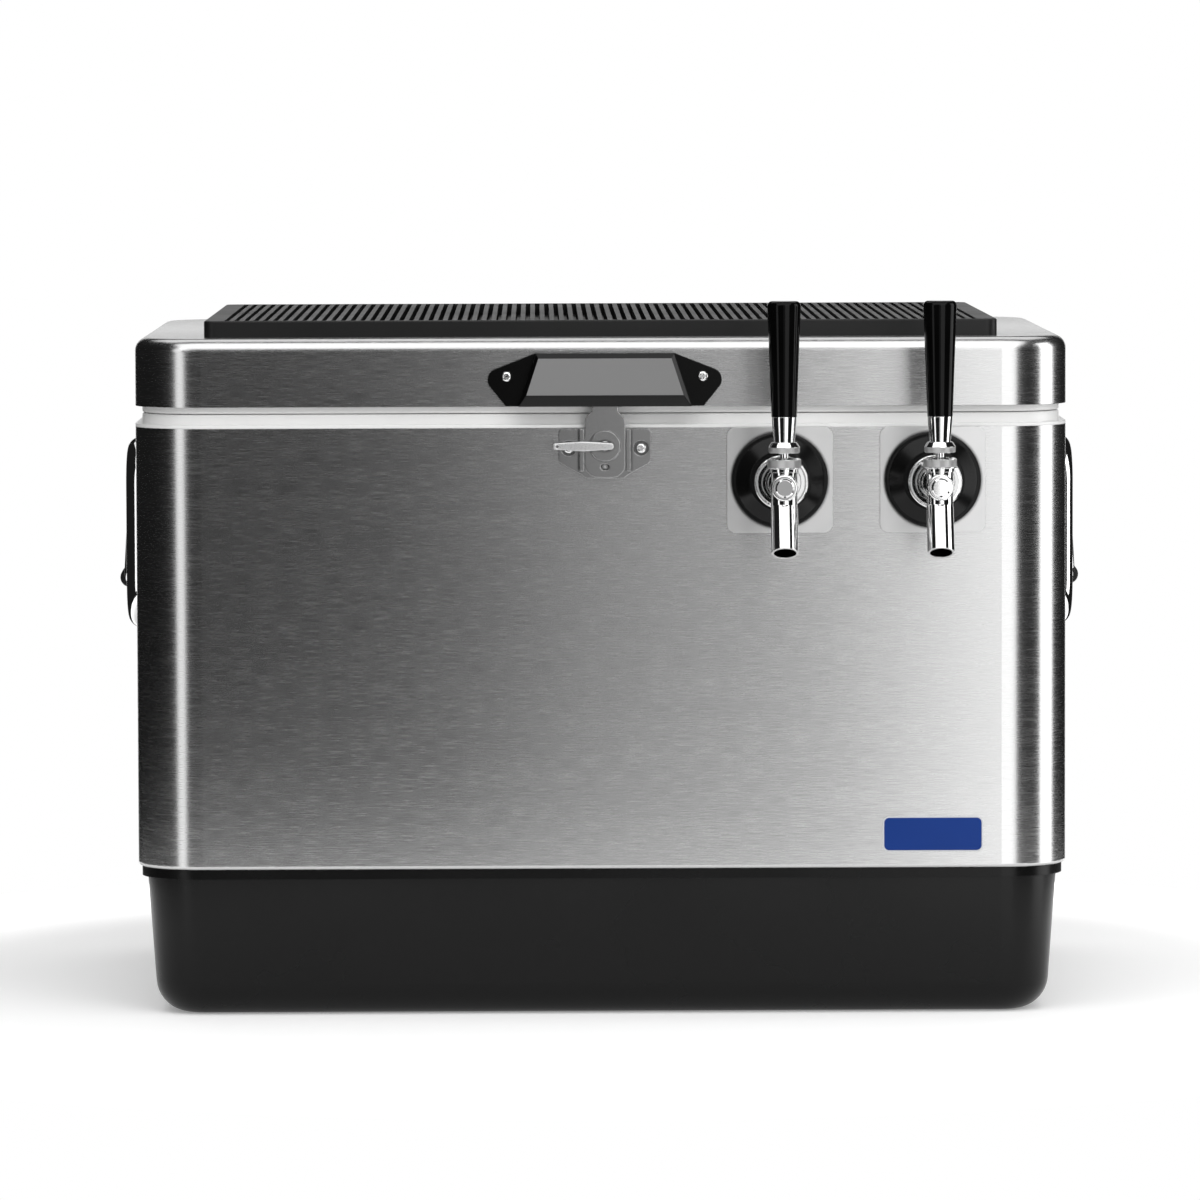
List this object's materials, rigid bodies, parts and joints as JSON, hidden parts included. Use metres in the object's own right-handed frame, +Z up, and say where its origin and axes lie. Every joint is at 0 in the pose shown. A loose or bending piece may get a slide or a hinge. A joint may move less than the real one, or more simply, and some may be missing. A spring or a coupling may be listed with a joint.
{
  "type": "jockey box beer cooler",
  "caption": "Steel-sided insulated cooler with chrome draft taps, cooling coils in the ice well, a ribbed drip tray on the lid, a turn latch and side bail handles.",
  "frame": {"origin": "centre of the footprint on the floor", "axes": "+Z up, the front with the taps and the latch faces -Y, +X to the right seen from the front"},
  "size_m": [0.6108, 0.5299, 0.4438],
  "materials": {
    "brushed_steel": "horizontal brushed stainless steel",
    "pressed_steel": "satin pressed steel",
    "stainless_tube": "smooth stainless tube",
    "brass_nut": "plain turned brass",
    "chrome": "polished chrome plate",
    "black_moulding": "satin black moulded plastic",
    "black_grip": "soft black grip",
    "gloss_black": "gloss black",
    "white_liner": "smooth white moulded plastic",
    "foam": "rigid polyurethane foam",
    "seal": "soft black rubber"
  },
  "bodies": {
    "case": {"body_jacket": "brushed_steel", "catch_plate": "pressed_steel", "hinge_leaves_body": "pressed_steel", "hinge_pins": "pressed_steel", "faucet_plate_left": "pressed_steel", "faucet_plate_right": "pressed_steel", "coil_left": "stainless_tube", "coil_right": "stainless_tube", "shank_left": "stainless_tube", "shank_right": "stainless_tube", "inlet_shank_left": "stainless_tube", "inlet_shank_right": "stainless_tube", "bulkhead_nuts": "brass_nut", "coil_unions": "brass_nut", "faucet_body_left": "chrome", "faucet_body_right": "chrome", "coupling_nut_left": "chrome", "coupling_nut_right": "chrome", "front_plug_left": "chrome", "front_plug_right": "chrome", "bonnet_left": "chrome", "bonnet_right": "chrome", "handle_frame_left": "chrome", "handle_frame_right": "chrome", "case_screws": "chrome", "base_tub": "black_moulding", "shank_flange_left": "black_moulding", "shank_flange_right": "black_moulding", "inlet_flanges": "black_moulding", "liner": "white_liner", "drain_spigot": "white_liner", "coil_frames": "white_liner", "body_insulation": "foam"},
    "lid": {"lid_shell": "brushed_steel", "lid_insulation": "foam", "lid_liner": "white_liner", "lid_gasket": "seal", "drip_tray": "black_moulding", "latch_cover": "black_moulding", "lid_screws": "chrome", "hasp_bracket": "pressed_steel", "hasp_pin": "pressed_steel", "hinge_leaves_lid": "pressed_steel"},
    "hasp": {"hasp": "pressed_steel"},
    "lever": {"latch_lever": "chrome"},
    "drain_cap": {"drain_plug": "black_moulding"},
    "tap_left": {"tap_lever_left": "chrome", "ferrule_left": "chrome", "tap_handle_left": "gloss_black"},
    "valve_left": {"faucet_shaft_left": "chrome"},
    "swing_left": {"bail_left": "chrome", "grip_left": "black_grip"},
    "tap_right": {"tap_lever_right": "chrome", "ferrule_right": "chrome", "tap_handle_right": "gloss_black"},
    "valve_right": {"faucet_shaft_right": "chrome"},
    "swing_right": {"bail_right": "chrome", "grip_right": "black_grip"}
  },
  "joints": [
    {"name": "lid_hinge", "type": "hinge", "parent": "case", "child": "lid", "pos_m": [0, 0.2045, 0.3727], "axis": [-1, 0, 0], "range_deg": [0, 100]},
    {"name": "hasp_swing", "type": "hinge", "parent": "lid", "child": "hasp", "pos_m": [0.0022, -0.2048, 0.3806], "axis": [-1, 0, 0], "range_deg": [0, 35]},
    {"name": "lever_turn", "type": "hinge", "parent": "hasp", "child": "lever", "pos_m": [0.0022, -0.2048, 0.353], "axis": [0, -1, 0], "range_deg": [0, 90]},
    {"name": "drain_pull", "type": "slide", "parent": "case", "child": "drain_cap", "axis": [0, 1, 0], "range_m": [0, 0.012]},
    {"name": "tap_left_pull", "type": "hinge", "parent": "case", "child": "tap_left", "pos_m": [0.1095, -0.283, 0.343], "axis": [1, 0, 0], "range_deg": [0, 22]},
    {"name": "valve_left_slide", "type": "slide", "parent": "case", "child": "valve_left", "axis": [0, 1, 0], "range_m": [0, 0.0032]},
    {"name": "bail_left_swing", "type": "hinge", "parent": "case", "child": "swing_left", "pos_m": [-0.2952, 0, 0.326], "axis": [0, 1, 0], "range_deg": [0, 100]},
    {"name": "tap_right_pull", "type": "hinge", "parent": "case", "child": "tap_right", "pos_m": [0.2035, -0.283, 0.343], "axis": [1, 0, 0], "range_deg": [0, 22]},
    {"name": "valve_right_slide", "type": "slide", "parent": "case", "child": "valve_right", "axis": [0, 1, 0], "range_m": [0, 0.0032]},
    {"name": "bail_right_swing", "type": "hinge", "parent": "case", "child": "swing_right", "pos_m": [0.2952, 0, 0.326], "axis": [0, -1, 0], "range_deg": [0, 100]}
  ],
  "couplings": [
    {"joint": "valve_left_slide", "follows": "tap_left_pull", "m_per_rad": 0.0082},
    {"joint": "valve_right_slide", "follows": "tap_right_pull", "m_per_rad": 0.0082}
  ]
}
